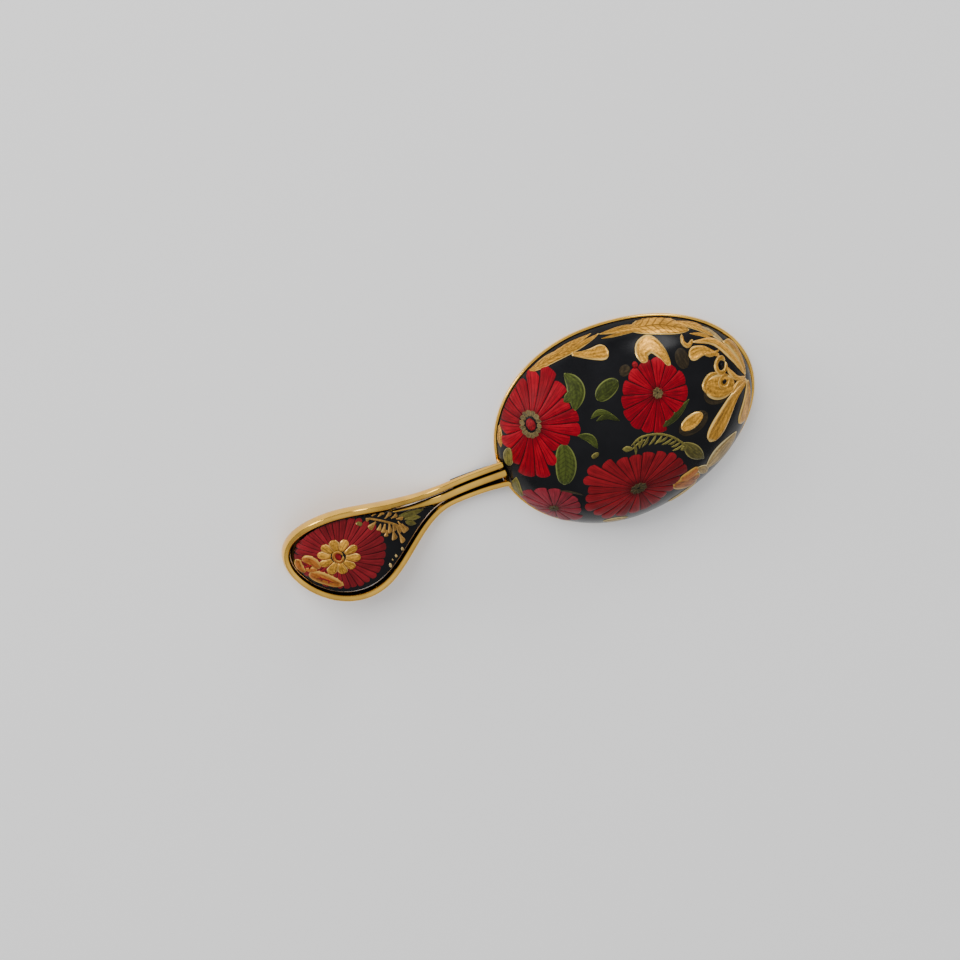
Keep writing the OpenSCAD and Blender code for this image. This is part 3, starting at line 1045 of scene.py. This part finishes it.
class SPOON_OT_bowl_gold(bpy.types.Operator):
    """Paint the gold leaves, drops and scrolls round the bowl's tip and along its rim"""

    bl_idname = "spoon.bowl_gold"
    bl_label = "Bowl gold"

    def execute(self, context):
        paint = context.scene.spoon_paint
        chance = random.Random(paint.seed + 3)
        pad = unit_pad("gold_pad", 16, 28)
        drops = [
            (((26.2, 29.0), (31.0, 27.7), (36.4, 26.7)), 4.4, "drop"),
            (((45.2, 20.2), (45.2, 23.2), (48.4, 23.5), (50.4, 20.6), (51.3, 16.4)), 4.4, "horn"),
            (((71.4, -1.4), (64.4, -3.4), (54.0, -11.2)), 8.0, "drop"),
            (((71.6, -2.2), (69.8, -6.6), (65.2, -13.8)), 5.8, "drop"),
            (((47.3, -1.9), (51.0, -1.3), (54.9, -0.7)), 4.7, "oval"),
            (((66.2, 10.6), (62.4, 14.4), (57.6, 15.9)), 4.6, "drop"),
            (((67.2, 0.6), (62.6, 3.2), (58.7, 6.4)), 7.4, "oval"),
        ]
        paint_on_bowl("gold_drops", pad, drops, paint.gold_relief, "gold", chance, hollow)

        scrolls = [
            (round_path(65.5, 8.1, 1.7, 1.9), 1.3, "line"),
            (round_path(64.5, 3.7, 1.7, 1.7), 1.0, "line"),
            (((58.3, 3.6), (58.3, 6.4), (61.0, 8.0), (64.0, 7.0)), 1.5, "leaf"),
            (((58.2, 21.0), (57.6, 19.4), (58.6, 18.0), (60.8, 18.3)), 1.1, "line"),
            (((59.6, 18.4), (66.4, 14.0), (70.0, 6.6), (71.6, -0.4)), 1.8, "leaf"),
            (((71.6, -0.6), (68.8, 1.4), (67.4, 4.4), (66.8, 7.0)), 1.5, "leaf"),
            (((71.8, -0.2), (71.9, 5.6), (70.8, 9.8), (68.9, 12.2)), 2.0, "leaf"),
            (((71.2, 1.0), (70.0, 6.0), (68.8, 9.4)), 1.1, "leaf"),
            (((71.4, -1.0), (68.2, 0.0), (65.2, -1.0)), 1.5, "leaf"),
            (((61.6, 14.0), (64.2, 12.2), (67.0, 11.6)), 1.2, "leaf"),
        ]
        paint_on_bowl("gold_scrolls", pad, scrolls, 0.55, "scroll", chance)
        holes = [
            (((63.8, 3.7), (65.2, 3.7)), 1.5, "oval"),
            (((65.0, 8.1), (66.0, 8.1)), 1.5, "oval"),
        ]
        paint_on_bowl("gold_scroll_holes", pad, holes, 0.62, "lacquer", chance)

        rim = [
            (((12.8, 27.0), (22.0, 29.3), (36.0, 30.3)), 1.5, "leaf"),
            (((17.0, 28.8), (26.0, 30.4), (34.0, 30.8)), 0.7, "leaf"),
            (((36.0, 30.2), (43.5, 28.8), (50.0, 26.8)), 1.0, "leaf"),
            (((36.0, 29.4), (42.0, 28.4), (47.0, 27.2)), 0.6, "leaf"),
            (((44.0, 28.5), (53.2, 25.4), (61.0, 20.4)), 3.4, "leaf"),
            (((58.0, 23.7), (63.6, 19.3), (67.4, 14.6)), 1.2, "leaf"),
            (((60.6, 19.8), (64.0, 17.4), (66.8, 14.2)), 0.7, "leaf"),
            (((-2.9, 8.4), (-2.0, 11.6), (-0.7, 14.6)), 1.1, "leaf"),
        ]
        paint_on_bowl("gold_rim_leaves", pad, rim, 0.3, "band", chance)

        pale = [
            (((50.4, -20.8), (56.4, -18.2), (63.0, -14.8)), 7.0, "leaf"),
            (((48.0, -18.0), (49.6, -20.4), (50.2, -23.2)), 3.4, "leaf"),
            (((16.6, -24.6), (20.0, -25.4), (24.0, -26.4)), 2.6, "leaf"),
            (((36.6, -27.6), (41.0, -27.0), (46.4, -25.0)), 1.6, "leaf"),
            (((62.4, 20.4), (66.6, 16.2), (69.4, 11.6)), 1.0, "leaf"),
        ]
        paint_on_bowl("pale_gold_leaves", pad, pale, 0.3, "pale", chance)

        coral = [
            (((39.2, -19.6), (42.6, -21.6), (46.6, -24.6)), 4.8, "oval"),
            (((41.8, -18.8), (45.0, -19.4), (48.3, -17.9)), 4.2, "oval"),
            (((43.6, -20.8), (46.0, -21.7), (48.2, -21.8)), 3.8, "oval"),
        ]
        paint_on_bowl("coral_leaves", pad, coral, 0.3, "coral", chance)
        berries = [
            (((40.9, 21.2), (41.8, 21.2), (42.7, 21.2)), 1.8, "oval"),
        ]
        paint_on_bowl("red_berries", pad, berries, 0.5, "ember", chance)
        bpy.data.objects.remove(pad)
        return {"FINISHED"}


class SPOON_OT_plaque_paint(bpy.types.Operator):
    """Paint the plaque in the handle: a large flower, its gold rosette, leaves and a sprig"""

    bl_idname = "spoon.plaque_paint"
    bl_label = "Plaque painting"

    def execute(self, context):
        paint = context.scene.spoon_paint
        chance = random.Random(paint.seed + 4)
        wide = unit_pad("plaque_pad", 8, 16)
        heart = (-59.5, 0.9)
        count = 34
        petals = []
        outline = ellipse_radius(13.2, 12.2)
        for i in range(count):
            turn = math.tau * i / count
            away = outline(turn) + 1.2 * math.cos(turn) + 0.5 * math.sin(turn)
            petals.append((360 * i / count, away + chance.uniform(-0.5, 0.4)))
        made = flower(wide, heart, ellipse_radius(2.2, 2.6), petals, 0.2, chance)
        obj = join(made, "plaque_flower")
        lay_on_plaque(obj)
        finish_piece(obj, "madder", "plaque_lacquer")

        rosette = []
        for i in range(10):
            turn = math.tau * (i + 0.4) / 10
            reach = 6.2 + chance.uniform(-0.4, 0.4)
            way = (math.cos(turn), math.sin(turn))
            path = [(heart[0] + way[0] * r, heart[1] + way[1] * r) for r in (2.1, 0.5 * reach + 1.0, reach)]
            rosette.append((path, 3.0 + chance.uniform(-0.3, 0.2), "petal"))
        paint_on_plaque("plaque_rosette", wide, rosette, 0.5, "gold", chance)
        ring = round_path(*heart, 1.35, 1.7)
        paint_on_plaque("plaque_eye_ring", wide, [(ring, 0.9, "line")], 0.45, "coral", chance)
        eye = ((heart[0] + 0.2, heart[1] - 1.3), (heart[0] - 0.2, heart[1] + 1.3))
        paint_on_plaque("plaque_eye", wide, [(eye, 1.7, "oval")], 0.3, "ember", chance)

        coral = [
            (((-70.3, 2.6), (-70.9, 0.2), (-70.1, -2.6)), 2.4, "oval"),
            (((-69.6, 2.4), (-67.2, 1.4), (-65.7, -1.8)), 3.4, "oval"),
            (((-69.6, -1.2), (-68.2, -1.6), (-66.4, -1.6)), 2.2, "oval"),
            (((-69.3, -2.8), (-66.2, -4.9), (-61.2, -9.0)), 4.6, "oval"),
        ]
        paint_on_plaque("plaque_coral_leaves", wide, coral, 0.5, "coral", chance)
        marks = [
            (((-69.0, 1.2), (-68.2, 0.0), (-68.4, -1.4)), 0.8, "leaf"),
            (((-69.4, -0.4), (-68.2, -0.2), (-67.0, 0.2)), 0.7, "leaf"),
            (((-67.6, -4.2), (-65.4, -5.4), (-63.0, -7.4)), 0.7, "leaf"),
            (((-66.4, -4.0), (-66.2, -5.2), (-66.6, -5.8)), 0.6, "leaf"),
            (((-64.6, -5.2), (-64.6, -6.4), (-65.0, -7.0)), 0.6, "leaf"),
        ]
        paint_on_plaque("plaque_leaf_marks", wide, marks, 0.66, "ember", chance)

        sprig = [(((-47.6, 9.4), (-44.2, 6.4), (-41.0, 3.0), (-38.6, -0.6)), 0.6, "line")]
        for x, y, dx, dy, width in (
            (-45.4, 6.8, -2.8, -0.9, 2.4), (-46.4, 8.6, -1.6, 0.3, 1.5), (-46.0, 9.0, 1.8, 0.3, 1.4),
            (-44.4, 7.8, 2.4, 0.1, 1.5), (-42.8, 6.0, 2.6, 0.3, 1.6), (-44.4, 5.4, -1.4, -1.6, 1.8),
            (-43.2, 4.6, -1.6, -2.2, 1.9), (-43.4, 2.6, -1.0, -1.8, 1.6), (-42.0, 4.0, -0.9, -3.0, 1.9),
            (-41.8, 1.2, -0.5, -3.0, 2.2), (-41.0, 3.4, -0.2, -2.8, 1.7), (-40.4, -0.8, 0.2, -3.6, 1.9),
            (-40.4, 2.4, 0.5, -3.4, 1.7), (-39.4, 2.6, 0.9, -4.6, 1.7), (-41.0, 4.8, 2.2, -0.4, 1.5),
            (-39.6, 3.6, 2.0, -1.2, 1.5), (-38.6, 1.2, 0.9, -3.2, 1.4),
        ):
            sprig.append((((x, y), (x + dx * 0.5, y + dy * 0.5), (x + dx, y + dy)), width * 1.15, "drop"))
        paint_on_plaque("plaque_gold_sprig", wide, sprig, 0.4, "bronze", chance)
        olive = [
            (((-38.6, 3.8), (-36.4, 2.6), (-33.6, 2.0)), 1.5, "leaf"),
            (((-37.6, 2.6), (-34.6, 1.6), (-31.0, 0.2)), 1.7, "leaf"),
            (((-37.4, 1.8), (-35.0, 0.4), (-32.6, -1.1)), 1.6, "leaf"),
            (((-37.4, 1.0), (-36.0, -0.6), (-34.6, -2.0)), 1.5, "leaf"),
            (((-36.0, 2.6), (-33.4, 1.2), (-31.6, 1.0)), 1.2, "leaf"),
            (((-51.0, 9.6), (-50.2, 8.9), (-49.6, 8.0)), 1.5, "oval"),
        ]
        paint_on_plaque("plaque_olive_leaves", wide, olive, 0.35, "olive", chance)
        dots = [
            (((x, y - size), (x, y + size)), width, "oval")
            for x, y, size, width in (
                (-46.4, -8.3, 0.8, 0.9), (-43.8, -6.6, 0.5, 0.7), (-45.2, -7.0, 0.3, 0.4),
                (-50.9, 9.3, 0.3, 0.6), (-41.3, -5.9, 0.6, 0.8), (-30.2, 0.4, 0.3, 0.5),
            )
        ]
        paint_on_plaque("plaque_pale_dots", wide, dots, 0.35, "pale", chance)
        bpy.data.objects.remove(wide)
        return {"FINISHED"}


class SPOON_OT_stage(bpy.types.Operator):
    """Set the pale floor, the soft light and the camera"""

    bl_idname = "spoon.stage"
    bl_label = "Stage"

    def execute(self, context):
        s = context.scene.spoon_stage
        bpy.ops.object.select_all(action="DESELECT")
        bpy.ops.mesh.primitive_plane_add(size=6.0, location=(0, 0, -0.00002))
        floor = named("floor")
        paper, _ = new_material("floor_paper")
        feed(paper, Base_Color=shade(s.floor_colour), Roughness=0.9)
        floor.data.materials.append(paper)

        world = bpy.data.worlds.new("studio_air")
        context.scene.world = world
        world.use_nodes = True
        sky = world.node_tree
        way = add(sky, "ShaderNodeTexCoord", out="Generated")
        height = add(sky, "ShaderNodeSeparateXYZ", [way], out="Z")
        tones = ((0.0, (0.3, 0.31, 0.33, 1)), (1.0, (0.84, 0.85, 0.88, 1)))
        sky.links.new(add(sky, RAMP, [height], stops=tones), sky.nodes["Background"].inputs["Color"])

        # The camera looks down from the spoon's +Y side, rolled so that the spoon lies aslant
        away = Vector((-0.040, 0.469, 0.882)).normalized()
        up = Vector((0.3949, 0.8187, -0.4168))
        right = Vector((0.9178, -0.3318, 0.2179))
        aim = Vector((-0.0123, 0.0016, 0.006))
        lowest_lamp = 0.6
        for name, side, lift, toward, size, power, mirrored in (
            ("softbox_key", -0.9, 0.9, 2.2, 2.0, 60.0, False),
            ("softbox_left", -2.2, 0.6, 0.5, 0.9, 22.0, True),
            ("softbox_back", 0.6, 2.0, 0.3, 0.9, 16.0, True),
        ):
            lamp = bpy.data.lights.new(name, "AREA")
            lamp.shape = "DISK"
            lamp.size = size
            lamp.energy = power
            obj = bpy.data.objects.new(name, lamp)
            context.scene.collection.objects.link(obj)
            place = aim + right * side + up * lift + away * toward
            place.z = max(place.z, lowest_lamp)
            obj.location = place
            obj.rotation_euler = (aim - place).to_track_quat("-Z", "Y").to_euler()
            obj.visible_glossy = mirrored

        camera = bpy.data.cameras.new("camera")
        camera.sensor_width = 36.0
        camera.lens = camera.sensor_width * s.distance / s.frame_width
        camera.clip_end = 20.0
        eye = bpy.data.objects.new("camera", camera)
        context.scene.collection.objects.link(eye)
        place = aim + away * s.distance
        turn = Matrix((right, up, away)).transposed().to_4x4()
        eye.matrix_world = Matrix.Translation(place) @ turn
        context.scene.camera = eye
        return {"FINISHED"}


class SPOON_PT_panel(bpy.types.Panel):
    """Lists the steps that make the spoon"""

    bl_idname = "SPOON_PT_panel"
    bl_label = "Painted Spoon"
    bl_space_type = "VIEW_3D"
    bl_region_type = "UI"
    bl_category = "Spoon"

    def draw(self, context):
        for step in STEPS:
            self.layout.operator(step.bl_idname)


STEPS = (
    SPOON_OT_bowl,
    SPOON_OT_handle,
    SPOON_OT_bowl_flowers,
    SPOON_OT_bowl_hearts,
    SPOON_OT_bowl_leaves,
    SPOON_OT_bowl_gold,
    SPOON_OT_plaque_paint,
    SPOON_OT_stage,
)
SETTINGS = {
    "spoon_bowl": SpoonBowlSettings,
    "spoon_paint": SpoonPaintSettings,
    "spoon_colour": SpoonColourSettings,
    "spoon_stage": SpoonStageSettings,
}


def register():
    for name, group in SETTINGS.items():
        bpy.utils.register_class(group)
        setattr(bpy.types.Scene, name, PointerProperty(type=group))
    for step in (*STEPS, SPOON_PT_panel):
        bpy.utils.register_class(step)


def unregister():
    for step in (SPOON_PT_panel, *reversed(STEPS)):
        bpy.utils.unregister_class(step)
    for name, group in SETTINGS.items():
        delattr(bpy.types.Scene, name)
        bpy.utils.unregister_class(group)


def main():
    register()
    make_materials(bpy.context.scene.spoon_colour)
    for step in STEPS:
        family, action = step.bl_idname.split(".")
        getattr(getattr(bpy.ops, family), action)()


if __name__ == "__main__":
    main()
